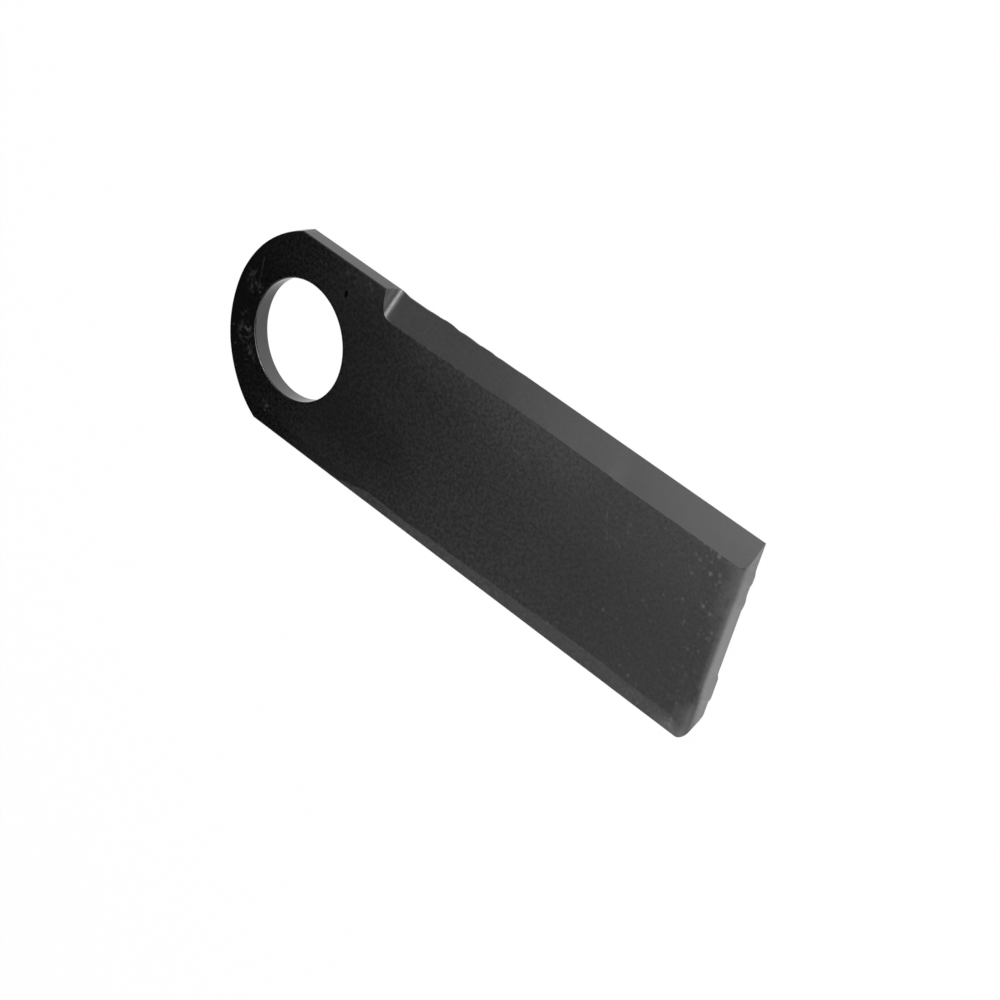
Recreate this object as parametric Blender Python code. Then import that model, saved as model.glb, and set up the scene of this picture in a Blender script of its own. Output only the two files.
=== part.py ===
# Chopper knife: a flat steel knife that swings on a pivot bolt in a straw chopper.
#
# The knife is drawn with its hole's centre at x = 0 and its tip towards +X, lying on its back
# face, with the ground front face up. The object is then moved along X, so that the origin is
# below the middle of the whole knife. All sizes are in metres.

import math

import bmesh
import bpy

# Bar that the knife is cut from
BAR_WIDTH = 0.0500
BAR_THICKNESS = 0.0040
EDGE_ROUND = 0.0003  # drawn bar's rounded long edges, and the broken edges of the hole
BACK_ROUND = 0.0002

# Length, measured from the hole's centre
HOLE_TO_TIP = 0.1360
HOLE_TO_END = 0.0233
END_CROWN = 0.0160  # how far the rounded end stands past its own corners

# Pivot hole
HOLE_DIAMETER = 0.0292

# Cutting edge, ground on the front face
BEVEL_WIDTH = 0.0062
EDGE_LAND = 0.0003  # thickness left at the cutting edge
SHOULDER_FROM_HOLE = 0.0222  # where the shoulder's wall would meet the bevel with no fillet
SHOULDER_FILLET = 0.0025
SHOULDER_LEAN = math.radians(15)  # the wall leans away from the blade

# Shallow bevel along the other edge, widening towards the tip
BACK_BEVEL_START = 0.0200
BACK_BEVEL_RUN_IN = 0.0130
BACK_BEVEL_WIDTH = 0.0027
BACK_BEVEL_TIP_WIDTH = 0.0042
BACK_BEVEL_ANGLE = math.radians(4.5)

# Sheared tip: the shear draws the front face down at the cut
ROLL_WIDTH = 0.0021
ROLL_DEPTH = 0.0012
CORNER_ROLL_WIDTH = 0.0056  # at the rounded corner
CORNER_ROLL_DEPTH = 0.0018
CORNER_ROLL_REACH = 0.0150  # along the tip, from the corner, fading over the second half
TIP_CORNER_RADIUS = 0.0026  # at the front face
TIP_CORNER_BACK_RADIUS = 0.0070  # at the back face, where the metal broke away

# Fineness of the curves
ARC_STEPS = 56
HOLE_STEPS = 112
CORNER_STEPS = 10
ROUND_STEPS = 4
FILLET_STEPS = 10
ROLL_STEPS = 8
ROLL_SECTIONS = 12

# How far a cutter stands past the metal that it removes
CUTTER_OVERRUN = 0.0030

PAINT_COLOUR = (0.008, 0.008, 0.0082, 1.0)
PAINT_ROUGHNESS = 0.42
SHARP_ANGLE = math.radians(28)

HALF_WIDTH = BAR_WIDTH / 2
BEVEL_INNER_Y = HALF_WIDTH - BEVEL_WIDTH
BEVEL_SLOPE = (BAR_THICKNESS - EDGE_LAND) / BEVEL_WIDTH


def clear_scene():
    for item in list(bpy.data.objects):
        bpy.data.objects.remove(item, do_unlink=True)


def object_from(bm, name):
    bmesh.ops.recalc_face_normals(bm, faces=bm.faces)
    mesh = bpy.data.meshes.new(name)
    bm.to_mesh(mesh)
    bm.free()
    item = bpy.data.objects.new(name, mesh)
    bpy.context.scene.collection.objects.link(item)
    return item


def loft(name, rings):
    """A closed solid through rings of equal length, with its first and last ring filled."""
    bm = bmesh.new()
    loops = [[bm.verts.new(point) for point in ring] for ring in rings]
    for lower, upper in zip(loops, loops[1:]):
        for i in range(len(lower)):
            j = (i + 1) % len(lower)
            bm.faces.new((lower[i], lower[j], upper[j], upper[i]))
    bm.faces.new(loops[0])
    bm.faces.new(loops[-1])
    return object_from(bm, name)


def edge_levels():
    """Heights through the plate, each with how far its rounded edge lies inside the outline."""
    levels = []
    for i in range(ROUND_STEPS + 1):
        angle = math.pi / 2 * i / ROUND_STEPS
        levels.append((BACK_ROUND * (1 - math.cos(angle)), BACK_ROUND * (1 - math.sin(angle))))
    for i in range(ROUND_STEPS, -1, -1):
        angle = math.pi / 2 * i / ROUND_STEPS
        height = BAR_THICKNESS - EDGE_ROUND * (1 - math.cos(angle))
        levels.append((height, EDGE_ROUND * (1 - math.sin(angle))))
    return levels


def arc(centre_x, centre_y, radius, start, end, steps):
    points = []
    for i in range(steps + 1):
        angle = start + (end - start) * i / steps
        points.append((centre_x + radius * math.cos(angle), centre_y + radius * math.sin(angle)))
    return points


def outline(height, inset):
    """The outline at a height, moved inwards by inset: round end, lower edge, tip corner, tip."""
    front_share = height / BAR_THICKNESS
    tip_radius = TIP_CORNER_BACK_RADIUS + (TIP_CORNER_RADIUS - TIP_CORNER_BACK_RADIUS) * front_share
    end_radius = (HALF_WIDTH ** 2 + END_CROWN ** 2) / (2 * END_CROWN)
    end_centre = end_radius - HOLE_TO_END
    corner = math.pi - math.asin((HALF_WIDTH - inset) / (end_radius - inset))
    if END_CROWN > end_radius:
        corner = math.pi - corner
    points = arc(end_centre, 0, end_radius - inset, corner, 2 * math.pi - corner, ARC_STEPS)
    points += arc(
        HOLE_TO_TIP - tip_radius,
        tip_radius - HALF_WIDTH,
        tip_radius - inset,
        -math.pi / 2,
        0,
        CORNER_STEPS,
    )
    points.append((HOLE_TO_TIP - inset, HALF_WIDTH - inset))
    return points


def make_bar():
    rings = []
    for height, inset in edge_levels():
        rings.append([(x, y, height) for x, y in outline(height, inset)])
    return loft("chopper_knife", rings)


def hole_cutter():
    """The through hole, opened at both faces by the same rounding as the outline."""
    levels = edge_levels()
    levels = [(-CUTTER_OVERRUN, levels[0][1])] + levels
    levels.append((BAR_THICKNESS + CUTTER_OVERRUN, levels[-1][1]))
    rings = []
    for height, inset in levels:
        radius = HOLE_DIAMETER / 2 + inset
        circle = arc(0, 0, radius, 0, 2 * math.pi, HOLE_STEPS)[:-1]
        rings.append([(x, y, height) for x, y in circle])
    return loft("hole_cutter", rings)


def bevel_cutter():
    """What the wheel removes: a flat bevel, a fillet and the shoulder's leaning wall.

    The section is drawn along the knife (u) and square to the bevel (n), and is swept down
    the slope of the bevel.
    """
    slope = math.atan(BEVEL_SLOPE)
    turn = math.pi / 2 - SHOULDER_LEAN
    fillet_start = SHOULDER_FROM_HOLE + SHOULDER_FILLET * math.tan(turn / 2)
    reach = BAR_THICKNESS + CUTTER_OVERRUN
    section = [(HOLE_TO_TIP + CUTTER_OVERRUN, 0.0)]
    for i in range(FILLET_STEPS + 1):
        angle = turn * i / FILLET_STEPS
        u = fillet_start - SHOULDER_FILLET * math.sin(angle)
        section.append((u, SHOULDER_FILLET * (1 - math.cos(angle))))
    section.append((SHOULDER_FROM_HOLE - reach * math.tan(SHOULDER_LEAN), reach))
    section.append((HOLE_TO_TIP + CUTTER_OVERRUN, reach))
    slope_length = math.hypot(BEVEL_WIDTH, BAR_THICKNESS - EDGE_LAND)
    rings = []
    for along in (-CUTTER_OVERRUN, slope_length + CUTTER_OVERRUN):
        ring = []
        for u, n in section:
            y = BEVEL_INNER_Y + along * math.cos(slope) + n * math.sin(slope)
            z = BAR_THICKNESS - along * math.sin(slope) + n * math.cos(slope)
            ring.append((u, y, z))
        rings.append(ring)
    return loft("bevel_cutter", rings)


def back_bevel_cutter():
    """A thin wedge along the lower edge: it runs in from nothing, then widens to the tip."""
    growth = (BACK_BEVEL_TIP_WIDTH - BACK_BEVEL_WIDTH) / (
        HOLE_TO_TIP - BACK_BEVEL_START - BACK_BEVEL_RUN_IN
    )
    stations = [
        (BACK_BEVEL_START, 0.0),
        (BACK_BEVEL_START + BACK_BEVEL_RUN_IN, BACK_BEVEL_WIDTH),
        (HOLE_TO_TIP + CUTTER_OVERRUN, BACK_BEVEL_TIP_WIDTH + growth * CUTTER_OVERRUN),
    ]
    drop = math.tan(BACK_BEVEL_ANGLE)
    rings = []
    for x, width in stations:
        outer = -HALF_WIDTH - CUTTER_OVERRUN
        inner = -HALF_WIDTH + width
        depth = drop * (inner - outer) if width else 0.0
        rings.append(
            [
                (x, inner, BAR_THICKNESS),
                (x, outer, BAR_THICKNESS - depth),
                (x, outer, BAR_THICKNESS + CUTTER_OVERRUN),
                (x, inner, BAR_THICKNESS + CUTTER_OVERRUN),
            ]
        )
    return loft("back_bevel_cutter", rings)


def smooth_step(value):
    value = min(max(value, 0.0), 1.0)
    return value * value * (3 - 2 * value)


def tip_roll_cutter():
    """The drawn-down front edge of the sheared tip, a quarter ellipse, larger at the corner."""
    low = -HALF_WIDTH - CUTTER_OVERRUN
    run = CUTTER_OVERRUN + CORNER_ROLL_REACH
    stations = [low + run * i / ROLL_SECTIONS for i in range(ROLL_SECTIONS + 1)]
    stations.append(HALF_WIDTH + CUTTER_OVERRUN)
    rings = []
    for y in stations:
        near_corner = smooth_step(2 - 2 * (y + HALF_WIDTH) / CORNER_ROLL_REACH)
        width = ROLL_WIDTH + (CORNER_ROLL_WIDTH - ROLL_WIDTH) * near_corner
        depth = ROLL_DEPTH + (CORNER_ROLL_DEPTH - ROLL_DEPTH) * near_corner
        ring = []
        for i in range(ROLL_STEPS + 1):
            angle = math.pi / 2 * i / ROLL_STEPS
            x = HOLE_TO_TIP - width * (1 - math.sin(angle))
            ring.append((x, y, BAR_THICKNESS - depth * (1 - math.cos(angle))))
        ring.append((HOLE_TO_TIP + CUTTER_OVERRUN, y, BAR_THICKNESS - depth))
        ring.append((HOLE_TO_TIP + CUTTER_OVERRUN, y, BAR_THICKNESS + CUTTER_OVERRUN))
        ring.append((HOLE_TO_TIP - width, y, BAR_THICKNESS + CUTTER_OVERRUN))
        rings.append(ring)
    return loft("tip_roll_cutter", rings)


def cut(item, cutter):
    cutter.hide_render = True
    cutter.display_type = "WIRE"
    modifier = item.modifiers.new(cutter.name, "BOOLEAN")
    modifier.operation = "DIFFERENCE"
    modifier.solver = "EXACT"
    modifier.object = cutter


def apply_cuts(item):
    """Bakes the cuts into the mesh and removes the cutters, so that its edges can be shaded."""
    cutters = [modifier.object for modifier in item.modifiers]
    graph = bpy.context.evaluated_depsgraph_get()
    finished = bpy.data.meshes.new_from_object(item.evaluated_get(graph))
    item.modifiers.clear()
    plain = item.data
    item.data = finished
    finished.name = item.name
    bpy.data.meshes.remove(plain)
    for cutter in cutters:
        bpy.data.objects.remove(cutter, do_unlink=True)
    finished.shade_smooth()
    finished.set_sharp_from_angle(angle=SHARP_ANGLE)
    shading = item.modifiers.new("flat_faces_shade_flat", "WEIGHTED_NORMAL")
    shading.keep_sharp = True


def paint_material():
    material = bpy.data.materials.new("black_paint")
    material.use_nodes = True
    shader = material.node_tree.nodes["Principled BSDF"]
    shader.inputs["Base Color"].default_value = PAINT_COLOUR
    shader.inputs["Roughness"].default_value = PAINT_ROUGHNESS
    shader.inputs["Metallic"].default_value = 0.0
    return material


def make_knife():
    knife = make_bar()
    cut(knife, hole_cutter())
    cut(knife, bevel_cutter())
    cut(knife, back_bevel_cutter())
    cut(knife, tip_roll_cutter())
    apply_cuts(knife)
    knife.data.materials.clear()
    knife.data.materials.append(paint_material())
    knife.location.x = (HOLE_TO_END - HOLE_TO_TIP) / 2
    return knife


clear_scene()
make_knife()
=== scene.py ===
import math
from functools import reduce
from operator import add, mul

import bmesh
import bpy
from mathutils import Matrix, Vector


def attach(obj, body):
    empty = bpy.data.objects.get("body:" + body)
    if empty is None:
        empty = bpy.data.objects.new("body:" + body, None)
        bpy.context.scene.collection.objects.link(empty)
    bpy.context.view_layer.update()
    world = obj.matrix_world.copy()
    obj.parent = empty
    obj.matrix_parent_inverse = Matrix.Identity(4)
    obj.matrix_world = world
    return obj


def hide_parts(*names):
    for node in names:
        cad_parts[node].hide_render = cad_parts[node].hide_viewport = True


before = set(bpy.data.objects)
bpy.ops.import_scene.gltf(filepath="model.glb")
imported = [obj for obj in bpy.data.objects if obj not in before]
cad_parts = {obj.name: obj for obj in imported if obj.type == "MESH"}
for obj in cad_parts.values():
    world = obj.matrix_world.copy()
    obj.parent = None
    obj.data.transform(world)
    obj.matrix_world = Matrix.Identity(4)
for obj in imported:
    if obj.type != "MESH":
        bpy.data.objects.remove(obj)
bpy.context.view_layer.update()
print("frame: the packed knife is in")


class Wire:
    # a node's output that can be used in sums
    def __init__(self, graph, socket):
        self.graph = graph
        self.socket = socket

    def maths(self, operation, first, second=0.0):
        return self.graph.node("ShaderNodeMath", {"operation": operation}, {0: first, 1: second})

    def __add__(self, other):
        return self.maths("ADD", self, other)

    def __radd__(self, other):
        return self.maths("ADD", other, self)

    def __sub__(self, other):
        return self.maths("SUBTRACT", self, other)

    def __rsub__(self, other):
        return self.maths("SUBTRACT", other, self)

    def __mul__(self, other):
        return self.maths("MULTIPLY", self, other)

    def __rmul__(self, other):
        return self.maths("MULTIPLY", other, self)

    def __truediv__(self, other):
        return self.maths("DIVIDE", self, other)

    def __rtruediv__(self, other):
        return self.maths("DIVIDE", other, self)

    def __abs__(self):
        return self.maths("ABSOLUTE", self)

    def higher(self, other):
        return self.maths("MAXIMUM", self, other)

    def lower(self, other):
        return self.maths("MINIMUM", self, other)

    def pick(self, name):
        # another output of the same node
        return Wire(self.graph, self.socket.node.outputs[name])


class Graph:
    def __init__(self, tree):
        self.tree = tree
        self.tree.nodes.clear()

    def node(self, kind, settings=None, inputs=None, output=0):
        made = self.tree.nodes.new(kind)
        for name, value in (settings or {}).items():
            setattr(made, name, value)
        for name, value in (inputs or {}).items():
            if isinstance(value, Wire):
                self.tree.links.new(value.socket, made.inputs[name])
            else:
                made.inputs[name].default_value = value
        return Wire(self, made.outputs[output]) if len(made.outputs) else made

    def mixColour(self, share, first, second):
        settings = {"data_type": "RGBA"}
        return self.node("ShaderNodeMix", settings, {0: share, 6: first, 7: second}, 2)

    def vector(self, operation, first, second=None, output=0):
        inputs = {0: first} if second is None else {0: first, 1: second}
        return self.node("ShaderNodeVectorMath", {"operation": operation}, inputs, output)


def ease(wire, low, high):
    # 0 at low, 1 at high, smooth between them, also where low is the larger
    flip = low > high
    ends = (high, low) if flip else (low, high)
    made = wire.graph.node(
        "ShaderNodeMapRange",
        {"interpolation_type": "SMOOTHSTEP"},
        {"Value": wire, "From Min": ends[0], "From Max": ends[1], "To Min": 0.0, "To Max": 1.0},
    )
    return 1 - made if flip else made


camera = {
    "place": (0.36847, 0.30567, 0.48603),
    "target": (0.01344, -0.00260, 0.00400),
    "roll": -104.232,
    "lens": 109.392,
    "sensor": 36.0,
    "nearest": 0.01,
    "furthest": 50.0,
}


def makeCamera(settings):
    data = bpy.data.cameras.new("camera")
    data.lens = settings["lens"]
    data.sensor_width = settings["sensor"]
    data.clip_start = settings["nearest"]
    data.clip_end = settings["furthest"]
    item = bpy.data.objects.new("camera", data)
    bpy.context.scene.collection.objects.link(item)
    item.location = settings["place"]
    look = Vector(settings["target"]) - Vector(settings["place"])
    aim = look.to_track_quat("-Z", "Y").to_matrix()
    turn = Matrix.Rotation(math.radians(settings["roll"]), 3, "Z")
    item.rotation_euler = (aim @ turn).to_euler()
    bpy.context.scene.camera = item


makeCamera(camera)
print("camera: set")


studio = {
    "floorSize": 14.0,
    "floorColour": (0.92, 0.92, 0.92, 1.0),
    "floorDrop": 0.00005,  # under the knife's back face
    "plainWhite": 0.98,  # of the floor that shows as plain white, the rest shows the shadow
    "worldLevel": 0.004,
    "lamps": [
        # name, bearing, height angle, distance, width, height, watts
        ("keyWide", 65.0, 48.0, 0.60, 0.30, 0.20, 0.90),
        ("keyMiddle", 80.0, 52.0, 0.60, 0.16, 0.18, 0.42),
        ("keyEdge", 95.0, 48.0, 0.60, 0.16, 0.18, 0.36),
        ("keySide", 120.0, 46.0, 0.60, 0.22, 0.20, 0.30),
        ("keyBack", 156.0, 42.0, 0.60, 0.18, 0.18, 0.08),
        ("fillHigh", 210.0, 68.0, 0.60, 0.22, 0.18, 0.40),
        ("fillLow", 240.0, 30.0, 0.60, 0.27, 0.20, 0.17),
        ("fillBeside", 250.0, 45.0, 0.60, 0.22, 0.20, 0.07),
        ("fillBack", 284.0, 60.0, 0.60, 0.28, 0.18, 0.12),
        ("tipHigh", 312.0, 50.0, 0.60, 0.34, 0.20, 0.25),
        ("tipMiddle", 326.0, 31.0, 0.60, 0.30, 0.18, 0.27),
        ("tipLow", 332.0, 11.0, 0.60, 0.36, 0.16, 0.30),
        ("above", 40.0, 80.0, 0.60, 0.36, 0.36, 1.10),
    ],
}


def shownWhite(graph, shader, share):
    # the camera and reflections see mostly plain white, and the light falls on the shader itself
    rays = graph.node("ShaderNodeLightPath")
    names = ("Is Camera Ray", "Is Glossy Ray", "Is Transmission Ray")
    seen = reduce(add, [rays.pick(name) for name in names])
    white = graph.node("ShaderNodeEmission", None, {"Color": (1, 1, 1, 1), "Strength": 1.0})
    return graph.node("ShaderNodeMixShader", None, {0: seen * share, 1: shader, 2: white})


def makeFloor(settings):
    bm = bmesh.new()
    bmesh.ops.create_grid(bm, x_segments=1, y_segments=1, size=settings["floorSize"] / 2)
    mesh = bpy.data.meshes.new("floor")
    bm.to_mesh(mesh)
    bm.free()
    floor = bpy.data.objects.new("floor", mesh)
    floor.location.z = -settings["floorDrop"]
    bpy.context.scene.collection.objects.link(floor)
    material = bpy.data.materials.new("paleFloor")
    material.use_nodes = True
    graph = Graph(material.node_tree)
    matt = graph.node("ShaderNodeBsdfDiffuse", None, {"Color": settings["floorColour"]})
    surface = shownWhite(graph, matt, settings["plainWhite"])
    graph.node("ShaderNodeOutputMaterial", None, {"Surface": surface})
    mesh.materials.append(material)


def makeWorld(settings):
    world = bpy.data.worlds.new("studio")
    bpy.context.scene.world = world
    world.use_nodes = True
    graph = Graph(world.node_tree)
    level = settings["worldLevel"]
    air = graph.node("ShaderNodeBackground", None, {"Color": (1, 1, 1, 1), "Strength": level})
    graph.node("ShaderNodeOutputWorld", None, {"Surface": air})


def makeLamp(name, bearing, rise, distance, width, height, watts):
    data = bpy.data.lights.new(name, "AREA")
    data.shape = "RECTANGLE"
    data.size = width
    data.size_y = height
    data.energy = watts
    lamp = bpy.data.objects.new(name, data)
    turn, lift = math.radians(bearing), math.radians(rise)
    flat = math.cos(lift) * distance
    away = Vector((flat * math.cos(turn), flat * math.sin(turn), math.sin(lift) * distance))
    lamp.location = away
    lamp.rotation_euler = (-away).to_track_quat("-Z", "Y").to_euler()
    lamp.visible_camera = False
    bpy.context.scene.collection.objects.link(lamp)


makeFloor(studio)
makeWorld(studio)
for lamp in studio["lamps"]:
    makeLamp(*lamp)
bpy.context.scene.view_settings.view_transform = "Standard"
print("studio: floor, world and", len(studio["lamps"]), "lamps")


# Places on the knife are in millimetres from the middle of its hole, with the back face at 0
# high, the tip towards +X and the cutting edge towards +Y. A pair of places is a soft border,
# which goes from 0 at the first to 1 at the second.
holeAt = Vector((-0.05635, 0.0, 0.0))
perMetre = 1000.0
frontHigh = 4.0
stripSide = (-21.4, -22.0)  # the border of the shallow bevel along the lower edge

paint = {
    "colour": (0.0004, 0.0004, 0.0005, 1.0),
    "grainColour": (0.0072, 0.0072, 0.0073, 1.0),  # the light side of its fine grain
    "litShoulderColour": (0.1250, 0.1250, 0.1240, 1.0),  # painted light: the shoulder's wall that faces the tip, lightened as if lit
    "tornAndLitColour": (0.2350, 0.2350, 0.2350, 1.0),  # the sheared tip, lighter for its thin paint and as a painted reflection of the pale floor
    "wornAndLitColour": (0.1000, 0.1000, 0.0990, 1.0),  # where the front face rounds into the tip: wear plus painted light on the rounded edge
    "dustColour": (0.0700, 0.0700, 0.0690, 1.0),  # rubbed and dusty places
    "nibColour": (0.1050, 0.1050, 0.1040, 1.0),
    "pitColour": (0.0005, 0.0004, 0.0004, 1.0),
    "glosses": (1.60, 2.00),  # the fine grain mixes a weaker and a stronger gloss
    "roughness": 0.29,
    "scuffRoughness": 0.16,  # these three are added to it
    "tornRoughness": 0.10,
    "pitRoughness": -0.15,
    "level": (0.70, 0.96),  # faces that look up or down
    "noiseDetail": 2.0,
    "peelSize": 1.10,
    "peelHeight": 0.026,
    "cloudSize": 4.5,
    "ground": {
        # the ground bevel
        "along": (20.8, 21.4),
        "across": (18.4, 19.0),
        "texture": 0.25,  # how much of the coat's texture it keeps
    },
    "grain": {
        "size": 0.82,
        "height": 0.006,
        "range": (0.30, 0.70),
        "inColour": (-26.0, -4.0),
        "least": 0.14,  # the gloss swings by this, and by more or less along the knife
        "more": 0.55,
        "moreAlong": (122.0, 50.0),
        "less": 0.22,
        "lessAlong": (34.0, 8.0),
        "lessOnStrip": 0.45,
        "stripAlong": (112.0, 88.0),
        "clouds": (0.6, 0.8),  # its share everywhere, and what the clouds add
    },
    "handled": {
        # shinier round the hole, where it is held and turns
        "roughness": 0.16,
        "along": (34.0, -20.0),
        "slant": 0.45,  # of that border below the middle
    },
    "roughAreas": [
        # borders along, borders across, what is added to the roughness
        ([(48.0, 68.0)], [(-6.0, 12.0)], 0.026),
        ([(100.0, 82.0)], [(7.0, 18.0)], 0.050),
        ([(56.0, 38.0)], [stripSide], -0.035),
        ([(50.0, 66.0), (112.0, 96.0)], [stripSide], 0.018),
        ([(38.0, 56.0), (98.0, 84.0)], [], 0.014),
    ],
    "roughSpots": [
        # middle, half sizes, what is added to the roughness
        ((24.0, 16.5), (16.0, 9.0), -0.035),
        ((24.0, -11.5), (25.0, 13.0), -0.050),
    ],
    "dull": {
        # beside the hole a weaker gloss darkens the face in place of a smoother one
        "leastRoughness": 0.279,
        "along": (3.0, 9.0),
        "perRoughness": 9.5,  # share of the gloss given up for the roughness that it gains
    },
    "wall": {
        # the hole's wall, which is lighter at its lower side
        "radius": (15.0, 14.7),
        "facing": 0.75,
        "less": 0.22,
    },
    "end": {
        # the rounded end, which is darker
        "along": (-12.0, -21.0),
        "less": 0.35,
    },
    # painted light: lightens the shoulder's wall where it faces the tip
    "shoulder": {
        "facing": (0.40, 0.90),
        "along": (30.0, 28.0),
        "across": (17.8, 18.4),
    },
    "torn": {
        # the sheared tip, lightened for its thin paint and as a painted reflection of the pale
        # floor it faces
        "facing": (0.42, 1.0),
        "along": (132.0, 133.5),
        "across": (-25.0, -16.0),
        "fade": 0.24,  # towards the cutting edge
        "fadeAcross": (7.0, 13.0),
        "mottle": 0.40,
    },
    "wornAndLit": {
        # the front face beside the tip, lightened as painted light where it rounds over, with
        # patchy wear
        "along": (129.5, 134.5),
        "across": (-4.0, 12.0),
        "least": 0.04,
        "more": 0.34,
        "clouds": (0.30, 0.55),
    },
    "wornAndLitCorner": {
        # the tip's lower corner, lightened as painted light on its wide rounded edge, with wear
        "middle": (131.5, -24.6),
        "sizes": (7.5, 3.4),
        "strength": 0.42,
        "along": (129.9, 130.8),
        "across": (-16.0, -19.0),
        "more": 0.19,
    },
    # painted highlight: the bevel lighter towards the tip and the cutting edge
    "litBevel": {
        "along": (116.0, 134.0),
        "across": (20.0, 24.0),
        "least": 0.01,
        "more": 0.06,
    },
    "wornStrip": {
        "along": (104.0, 122.0),
        "speckle": (0.50, 0.66),
        "strength": 0.20,
    },
    "nibs": {
        # dust caught in the coat: small domes at random points, most of them near the tip
        "spacing": 2.1,
        "radius": 0.42,
        "sizes": (0.6, 0.6),  # the least share of that radius, and what chance adds
        "height": 0.012,
        "strength": 0.35,
        "chance": (0.955, 0.985),
        "crowd": 0.17,
        "crowdAlong": (98.0, 122.0),
        "border": (1.2, 0.4),  # of the radius, for those that are placed
        "placed": [
            # place, radius, strength of those that stand out
            ((98.0, 13.3), 0.40, 0.20),
            ((100.0, 5.5), 0.45, 0.25),
            ((104.7, 10.0), 0.50, 0.30),
            ((104.6, 11.7), 0.60, 0.20),
            ((103.9, 5.6), 0.50, 0.25),
            ((105.1, -9.6), 0.50, 0.35),
            ((99.8, -13.7), 0.60, 0.18),
            ((113.9, -18.7), 0.50, 0.22),
            ((116.7, -19.5), 0.50, 0.30),
            ((119.5, -20.0), 0.45, 0.25),
            ((114.0, -1.6), 0.50, 0.30),
            ((115.4, 8.3), 0.40, 0.15),
            ((116.7, 7.8), 0.40, 0.15),
            ((118.5, 2.5), 0.45, 0.25),
            ((122.1, 12.1), 0.40, 0.20),
            ((122.7, 15.4), 0.50, 0.25),
            ((123.3, 11.0), 0.50, 0.40),
            ((123.3, 4.5), 0.45, 0.40),
            ((124.2, 14.8), 0.55, 0.42),
            ((125.4, -0.5), 0.55, 0.25),
            ((125.6, 0.3), 0.45, 0.30),
            ((125.5, 16.5), 0.40, 0.25),
            ((127.1, 16.0), 0.50, 0.35),
            ((127.7, 13.5), 0.60, 0.60),
            ((127.1, -11.2), 0.45, 0.22),
            ((128.1, -17.2), 0.40, 0.28),
            ((128.7, 6.0), 0.55, 0.60),
            ((129.1, 7.4), 0.35, 0.22),
            ((128.7, -4.9), 0.45, 0.35),
            ((128.9, -9.3), 0.45, 0.20),
            ((130.0, 14.6), 0.55, 0.40),
            ((130.5, 13.2), 0.50, 0.40),
            ((130.0, -0.3), 0.45, 0.25),
            ((130.5, -10.4), 0.50, 0.22),
            ((130.2, -12.1), 0.50, 0.22),
            ((130.6, -17.7), 0.45, 0.28),
            ((130.9, 5.4), 0.55, 0.42),
            ((131.1, 0.6), 0.35, 0.20),
            ((131.4, -3.8), 0.45, 0.35),
            ((132.9, 1.9), 0.50, 0.50),
            ((132.7, 0.2), 0.55, 0.30),
            ((128.3, 18.2), 0.65, 0.70),
            ((125.9, 18.5), 0.45, 0.35),
            ((130.5, -23.3), 0.55, 0.90),
            ((130.7, -21.9), 0.55, 0.55),
            ((129.5, -23.6), 0.45, 0.60),
            ((121.3, -23.7), 0.50, 0.40),
            ((117.8, -23.3), 0.45, 0.30),
            ((123.9, 18.5), 0.40, 0.25),
            ((131.4, 18.3), 0.45, 0.30),
            ((9.2, 22.7), 0.60, 0.16),
            ((16.5, 23.7), 0.60, 0.20),
            ((17.4, 22.6), 0.60, 0.20),
            ((36.0, 17.9), 0.40, 0.30),
            ((56.9, 9.1), 0.40, 0.14),
            ((60.1, 8.2), 0.40, 0.10),
        ],
    },
    "pit": {
        "middle": (10.4, 17.8),
        "sizes": (0.62, 1.15),
        "depth": 0.8,
        "border": (1.0, 0.6),
    },
    "scratches": {
        "depth": 0.003,
        "broken": (0.34, 0.54),  # the peel breaks them up
        "placed": [
            # from, to, half width, strength
            ((-16.9, 13.2), (-16.3, 6.0), 0.26, 0.35),
            ((66.4, 11.6), (69.7, 9.9), 0.26, 0.45),
            ((69.7, 9.9), (73.5, 10.2), 0.30, 0.50),
            ((80.1, 13.8), (84.4, 12.1), 0.24, 0.30),
            ((84.4, 12.1), (88.7, 10.4), 0.22, 0.26),
            ((97.9, 11.2), (100.1, 5.4), 0.32, 0.55),
            ((100.4, 6.5), (103.2, 6.2), 0.45, 0.22),
            ((15.6, 20.2), (17.4, 21.2), 0.40, 0.10),
            ((11.6, 23.4), (14.9, 22.6), 0.40, 0.08),
        ],
    },
    "scuffs": {
        # rubbed places beside the hole and at the edge above it
        "speckle": (0.47, 0.66),
        "speckleSize": 1.2,
        "speckleDetail": 4.0,
        "speckleRoughness": 0.66,
        "strength": 0.55,
        "placed": [
            # middle, half sizes, strength
            ((-18.6, 6.4), (3.0, 4.2), 0.8),
            ((-15.6, 4.8), (1.8, 3.0), 1.0),
            ((-16.8, -6.6), (3.6, 3.6), 1.0),
            ((-13.0, -12.0), (2.0, 4.2), 1.0),
            ((-5.0, -20.0), (3.4, 2.0), 0.5),
            ((-15.4, -8.8), (2.0, 3.0), 1.0),
            ((-18.6, -2.4), (1.8, 2.6), 0.4),
            ((12.5, 22.9), (6.5, 2.2), 0.34),
        ],
    },
}


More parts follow.
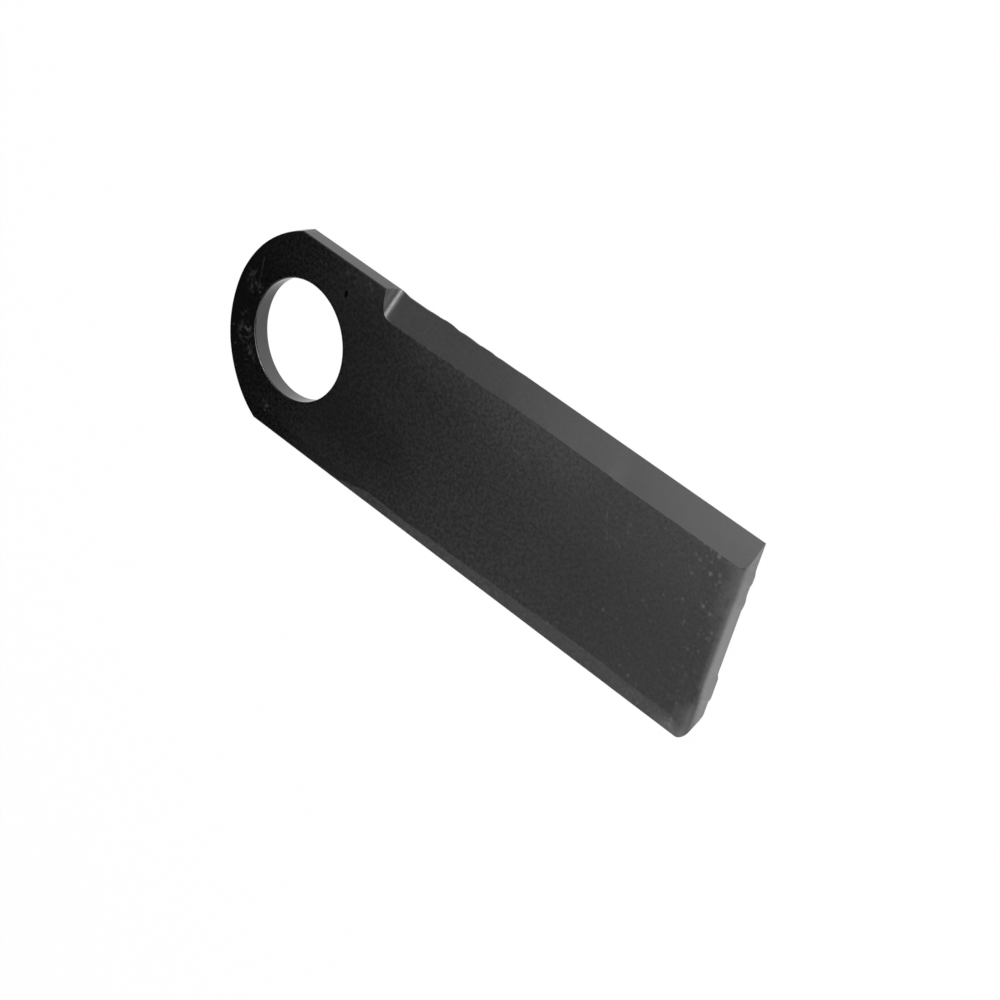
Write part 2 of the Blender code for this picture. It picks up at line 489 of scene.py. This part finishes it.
class Face:
    # places on the knife, and masks made from them
    def __init__(self, graph):
        self.graph = graph
        coords = graph.node("ShaderNodeTexCoord", None, None, "Object")
        place = graph.vector("SUBTRACT", coords, holeAt)
        self.place = graph.vector("MULTIPLY", place, (perMetre, perMetre, perMetre))
        self.x = graph.node("ShaderNodeSeparateXYZ", None, {0: self.place})
        self.y = self.x.pick("Y")
        self.normal = graph.node("ShaderNodeSeparateXYZ", None, {0: coords.pick("Normal")})

    def noise(self, size, detail, roughness=0.5):
        inputs = {"Vector": self.place, "Scale": 1 / size, "Detail": detail, "Roughness": roughness}
        return self.graph.node("ShaderNodeTexNoise", None, inputs, "Fac")

    def length(self, vector):
        return self.graph.vector("LENGTH", vector, None, "Value")

    def along(self, border):
        return ease(self.x, *border)

    def across(self, border):
        return ease(self.y, *border)

    def facing(self, border):
        # how much the surface looks towards the tip
        return ease(self.normal, *border)

    def spot(self, middle, sizes, depth=frontHigh, border=(1.0, 0.2)):
        # 1 in the middle of an oval on the front face, 0 from its edge on
        away = self.graph.vector("SUBTRACT", self.place, (*middle, frontHigh))
        shares = [1 / size for size in (*sizes, depth)]
        return ease(self.length(self.graph.vector("MULTIPLY", away, shares)), *border)

    def dot(self, middle, size, border):
        gap = self.graph.vector("DISTANCE", self.place, (*middle, frontHigh), "Value")
        return ease(gap, size * border[0], size * border[1])

    def line(self, start, end, halfWidth):
        # 1 along the middle of a straight scratch, 0 from its side on
        graph = self.graph
        first = Vector((*start, frontHigh))
        run = Vector((*end, frontHigh)) - first
        away = graph.vector("SUBTRACT", self.place, first)
        along = graph.vector("DOT_PRODUCT", away, run / run.length_squared, "Value")
        along = graph.node("ShaderNodeClamp", None, {"Value": along, "Min": 0.0, "Max": 1.0})
        nearest = graph.node("ShaderNodeCombineXYZ", None, {0: along, 1: along, 2: along})
        nearest = graph.vector("MULTIPLY", nearest, run)
        return ease(self.length(graph.vector("SUBTRACT", away, nearest)), halfWidth, 0.0)


def scatterNibs(face, dust):
    node = face.graph.node
    inputs = {"Vector": face.place, "Scale": 1 / dust["spacing"]}
    cells = node("ShaderNodeTexVoronoi", {"voronoi_dimensions": "2D"}, inputs, "Distance")
    chance = node("ShaderNodeSeparateColor", None, {0: cells.pick("Color")})
    chosen = ease(chance + face.along(dust["crowdAlong"]) * dust["crowd"], *dust["chance"])
    least, more = dust["sizes"]
    away = cells / (least + chance.pick("Green") * more)
    return ease(away, dust["radius"] / dust["spacing"], 0.0) * chosen


def findWearAndPaintedLight(face, settings, ground, strip, cloud, speckle):
    # painted light and wear where the front face meets the tip, a painted highlight on the bevel
    # there, and wear on the strip
    front = settings["wornAndLit"]
    wornAndLit = front["least"] + face.across(front["across"]) * front["more"]
    wornAndLit = face.along(front["along"]) * wornAndLit * ease(cloud, *front["clouds"])
    low = settings["wornAndLitCorner"]
    corner = face.spot(low["middle"], low["sizes"]) * low["strength"]
    corner = corner + face.along(low["along"]) * face.across(low["across"]) * low["more"]
    wornAndLit = wornAndLit.higher(corner) * (1 - ground)
    # painted highlight on the bevel near the tip
    slope = settings["litBevel"]
    bevel = slope["least"] + face.across(slope["across"]) * slope["more"]
    wornAndLit = wornAndLit + ground * face.along(slope["along"]) * bevel
    side = settings["wornStrip"]
    lower = strip * face.along(side["along"]) * ease(speckle, *side["speckle"])
    return wornAndLit + lower * side["strength"]


def findRoughness(face, settings, ground):
    # of the sound coat, before its marks
    held = settings["handled"]
    slanted = face.x - face.y.lower(0.0) * held["slant"]
    handled = ease(slanted, *held["along"]) * (held["roughness"] - settings["roughness"])
    more = []
    for along, across, size in settings["roughAreas"]:
        borders = [face.along(border) for border in along]
        borders += [face.across(border) for border in across]
        more.append(reduce(mul, borders) * size)
    for middle, sizes, size in settings["roughSpots"]:
        more.append(face.spot(middle, sizes) * size)
    return settings["roughness"] + handled + reduce(add, more) * (1 - ground)


def makePaint(settings):
    material = bpy.data.materials.new("blackPaint")
    material.use_nodes = True
    graph = Graph(material.node_tree)
    face = Face(graph)
    grains = settings["grain"]
    detail = settings["noiseDetail"]
    peel = face.noise(settings["peelSize"], detail)
    grain = face.noise(grains["size"], detail)
    cloud = face.noise(settings["cloudSize"], detail)
    level = ease(abs(face.normal.pick("Z")), *settings["level"])
    strip = face.across(stripSide)
    bevel = settings["ground"]
    ground = face.along(bevel["along"]) * face.across(bevel["across"])
    texture = 1 - ground * (1 - bevel["texture"])

    rubs = settings["scuffs"]
    speckle = face.noise(rubs["speckleSize"], rubs["speckleDetail"], rubs["speckleRoughness"])
    patches = [face.spot(middle, sizes) * size for middle, sizes, size in rubs["placed"]]
    scuff = ease(speckle, *rubs["speckle"]) * reduce(Wire.higher, patches)

    hollow = settings["pit"]
    pit = face.spot(hollow["middle"], hollow["sizes"], hollow["depth"], hollow["border"])

    cuts = settings["scratches"]
    lines = [face.line(start, end, wide) * size for start, end, wide, size in cuts["placed"]]
    marks = reduce(Wire.higher, lines) * ease(peel, *cuts["broken"])

    dust = settings["nibs"]
    nib = scatterNibs(face, dust) * (1 - ground) * dust["strength"]

    # only these go into the bump, since the renderer has little room for more
    height = (peel * settings["peelHeight"] + grain * grains["height"]) * texture
    height = (height + nib * dust["height"] - marks * cuts["depth"]) * (1 / perMetre)
    bump = graph.node("ShaderNodeBump", None, {"Height": height, "Strength": 1.0, "Distance": 1.0})

    for middle, size, strength in dust["placed"]:
        nib = nib.higher(face.dot(middle, size, dust["border"]) * strength)

    # the sheared tip's face: thin paint plus painted light from the floor it faces
    tip = settings["torn"]
    torn = face.facing(tip["facing"]) * face.along(tip["along"]) * face.across(tip["across"])
    torn = torn * (1 - face.across(tip["fadeAcross"]) * tip["fade"])
    torn = torn * (1 - tip["mottle"] / 2 + peel * tip["mottle"])
    # painted light on the shoulder's wall, chosen by which way it faces
    edge = settings["shoulder"]
    shoulder = face.facing(edge["facing"]) * face.across(edge["across"]) * face.along(edge["along"])
    # wear plus painted light near the tip
    wornAndLit = findWearAndPaintedLight(face, settings, ground, strip, cloud, speckle)

    # the gloss carries the grain on most of the knife, the colour does where the gloss is smooth
    fleck = ease(grain, *grains["range"]) - 0.5
    tone = 0.5 + fleck * texture * face.along(grains["inColour"])
    colour = graph.mixColour(tone, settings["colour"], settings["grainColour"])
    for share, over in (
        (shoulder, "litShoulderColour"),
        (wornAndLit, "wornAndLitColour"),
        (torn, "tornAndLitColour"),
        (marks, "dustColour"),
        (scuff * rubs["strength"], "dustColour"),
        (nib, "nibColour"),
        (pit, "pitColour"),
    ):
        colour = graph.mixColour(share, colour, settings[over])

    dull = settings["dull"]
    roughness = findRoughness(face, settings, ground)
    lack = (dull["leastRoughness"] - roughness).higher(0.0)
    lack = lack * face.along(dull["along"]) * (1 - ground) * level
    roughness = roughness + lack + scuff * settings["scuffRoughness"]
    roughness = roughness + torn * settings["tornRoughness"] + pit * settings["pitRoughness"]

    coats = []
    for gloss in settings["glosses"]:
        inputs = {"Base Color": colour, "Roughness": roughness, "IOR": gloss, "Normal": bump}
        coats.append(graph.node("ShaderNodeBsdfPrincipled", None, inputs))

    contrast = grains["least"] + face.along(grains["moreAlong"]) * grains["more"]
    contrast = contrast - face.along(grains["lessAlong"]) * grains["less"]
    contrast = contrast * texture * level * (grains["clouds"][0] + cloud * grains["clouds"][1])
    contrast = contrast * (1 - strip * face.along(grains["stripAlong"]) * grains["lessOnStrip"])

    rim = settings["wall"]
    fromHole = face.length(graph.vector("MULTIPLY", face.place, (1.0, 1.0, 0.0)))
    lighter = face.normal.pick("Y") * rim["facing"] - rim["less"]
    wall = ease(fromHole, *rim["radius"]) * (1 - level) * lighter
    back = settings["end"]
    share = 0.5 + wall - face.along(back["along"]) * level * back["less"]
    share = share - lack * dull["perRoughness"] + fleck * contrast
    surface = graph.node("ShaderNodeMixShader", None, {0: share, 1: coats[0], 2: coats[1]})
    graph.node("ShaderNodeOutputMaterial", None, {"Surface": surface})
    return material


blackPaint = makePaint(paint)
print("paint: mixed")


knife = {
    "length": (-23.3, 136.0),
    "halfWidth": 25.0,
    "bevelAt": 18.8,
    "bevelRise": 0.597,
    "stripAt": -21.8,
    "cell": 1.0,  # size of the detailed mesh's faces
    "fineCell": 0.5,  # across the knife, and along it near the tip
    "fineLength": 3.0,  # how much of the tip has the finer faces
    "sharpAngle": 28.0,
    "flatAngle": 0.3,  # faces of the solid that turn by less are joined up
    "backHigh": 0.2,  # the broken edge of the back face ends here
    "tornHigh": (1.4, 3.2),  # the tip is torn below, and more evenly sheared above
    "tipSetBack": 0.47,  # of the torn tip from the furthest tooth
    "tipBlend": (9.0, 1.5),  # how far from the tip the set-back starts, and is whole
    "tipTeeth": [
        # from, to, how far it stands out, softness of its sides
        (-14.6, -8.5, 0.44, 0.5),
        (-19.2, -14.6, 0.10, 0.6),
        (8.9, 11.2, 0.24, 1.0),
        (14.6, 17.6, 0.27, 0.7),
    ],
    "edgeBlend": (23.0, 24.8),
    "edgeDents": [
        # from, to along the cutting edge, depth, softness of its sides
        (24.6, 33.0, 0.40, 1.4),
        (33.0, 37.0, 0.21, 1.0),
        (40.8, 43.2, 0.26, 0.8),
        (43.2, 47.0, 0.13, 0.8),
        (47.0, 49.4, 0.24, 0.8),
        (49.4, 52.0, 0.12, 1.0),
        (53.0, 55.0, 0.19, 0.8),
        (55.0, 62.0, 0.10, 1.5),
    ],
    "linesFrom": 22.0,  # the shoulder, where both lines below start
    "bevelReach": 16.3,  # how far across the front face the wandering goes
    "bevelLine": [
        # along the knife, how far the bevel's inner line wanders across it
        (22.0, -0.10), (26.0, -0.48), (34.0, -0.38), (40.0, -0.40), (46.0, -0.26), (52.0, -0.16),
        (58.0, -0.04), (64.0, 0.10), (76.0, 0.15), (88.0, 0.06), (94.0, 0.06), (100.0, -0.10),
        (108.0, -0.04), (118.0, 0.04), (136.0, 0.00),
    ],
    "stripReach": -18.5,
    "stripLine": [
        # the same for the inner line of the strip along the lower edge
        (20.0, 0.00), (34.0, 0.10), (46.0, -0.36), (54.0, -0.08), (62.0, -0.20), (70.0, 0.06),
        (78.0, 0.12), (94.0, 0.28), (102.0, 0.46), (110.0, 0.42), (118.0, 0.02), (126.0, -0.06),
        (136.0, 0.00),
    ],
    "endBlend": (-17.0, -8.0),
    "roundEnd": [
        # from, to across the knife, how far the rounded end swells, softness
        (4.0, 19.0, 0.16, 4.0),
        (-21.5, -13.5, -0.10, 3.0),
    ],
}

tinyGap = 1e-7  # in metres, for joining points and for cuts


def smooth(value, low, high):
    share = min(max((value - low) / (high - low), 0.0), 1.0)
    return share * share * (3 - 2 * share)


def plainCopy(source, flatAngle):
    # the CAD solid's points and faces only, with its flat faces joined up
    bm = bmesh.new()
    corners = [bm.verts.new(vertex.co) for vertex in source.vertices]
    for polygon in source.polygons:
        bm.faces.new([corners[i] for i in polygon.vertices])
    bmesh.ops.remove_doubles(bm, verts=bm.verts, dist=tinyGap)
    angle = math.radians(flatAngle)
    bmesh.ops.dissolve_limit(bm, angle_limit=angle, verts=bm.verts[:], edges=bm.edges[:])
    return bm


def sliceAcross(bm, axis, places):
    # cuts every face at each place along an axis
    ahead = bm.faces[:]
    normal = Vector((1 - axis, axis, 0))
    for place in sorted(places):
        edges = {edge for face in ahead for edge in face.edges}
        verts = {vert for face in ahead for vert in face.verts}
        made = bmesh.ops.bisect_plane(
            bm,
            geom=list(verts) + list(edges) + ahead,
            dist=tinyGap,
            plane_co=normal * place,
            plane_no=normal,
        )
        faces = [item for item in made["geom"] if isinstance(item, bmesh.types.BMFace)]
        ahead = [f for f in faces if max(v.co[axis] for v in f.verts) > place + tinyGap]


def steps(low, high, size):
    count = max(1, round((high - low) / size))
    return [low + (high - low) * i / count for i in range(1, count)]


def stretches(value, rows):
    # the sum of the stretches that a place lies in, each with soft sides
    total = 0.0
    for low, high, size, soft in rows:
        inside = smooth(value, low - soft, low + soft)
        total += size * inside * (1 - smooth(value, high - soft, high + soft))
    return total


def wander(value, rows):
    # a smooth line through the rows
    for (low, first), (high, second) in zip(rows, rows[1:]):
        if low <= value <= high:
            return first + (second - first) * smooth(value, low, high)
    return 0.0


def tent(value, low, top, high):
    # 1 at the top, and straight down to 0 on both sides
    if value < top:
        return max(0.0, (value - low) / (top - low))
    return max(0.0, (high - value) / (high - top))


def roughen(bm, settings):
    # the torn tip, the worn cutting edge and the lines that were ground by hand
    tip = settings["length"][1]
    side = settings["halfWidth"]
    blend = [tip - size for size in settings["tipBlend"]]
    for vert in bm.verts:
        x, y, z = (vert.co - holeAt) * perMetre
        torn = 1 - smooth(z, *settings["tornHigh"])
        back = settings["tipSetBack"] - stretches(y, settings["tipTeeth"]) * torn
        dx = -back * smooth(x, *blend)
        dx -= stretches(y, settings["roundEnd"]) * (1 - smooth(x, *settings["endBlend"]))
        dy = -stretches(x, settings["edgeDents"]) * smooth(y, *settings["edgeBlend"])
        above = z > settings["backHigh"]
        dz = -dy * settings["bevelRise"] if above else 0.0  # the bevel stays flat
        if above and x > settings["linesFrom"]:
            bevel = tent(y, settings["bevelReach"], settings["bevelAt"], side)
            strip = tent(y, -side, settings["stripAt"], settings["stripReach"])
            dy += wander(x, settings["bevelLine"]) * bevel
            dy += wander(x, settings["stripLine"]) * strip
        vert.co += Vector((dx, dy, dz)) / perMetre


def makeKnife(node, settings, material):
    bm = plainCopy(node.data, settings["flatAngle"])
    low, high = settings["length"]
    side = settings["halfWidth"]
    fine = settings["fineCell"]
    middle = high - settings["fineLength"]
    along = steps(low, middle, settings["cell"]) + [middle] + steps(middle, high, fine)
    sliceAcross(bm, 0, [holeAt.x + x / perMetre for x in along])
    sliceAcross(bm, 1, [y / perMetre for y in steps(-side, side, fine)])
    roughen(bm, settings)
    mesh = bpy.data.meshes.new("knife")
    bm.normal_update()
    bm.to_mesh(mesh)
    bm.free()
    mesh.shade_smooth()
    mesh.set_sharp_from_angle(angle=math.radians(settings["sharpAngle"]))
    mesh.materials.append(material)
    item = bpy.data.objects.new("knife", mesh)
    bpy.context.scene.collection.objects.link(item)
    shading = item.modifiers.new("flatFacesShadeFlat", "WEIGHTED_NORMAL")
    shading.keep_sharp = True
    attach(item, "root")
    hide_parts(node.name)
    return item


shownKnife = makeKnife(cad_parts["chopper_knife"], knife, blackPaint)
print("knife:", len(shownKnife.data.polygons), "faces")
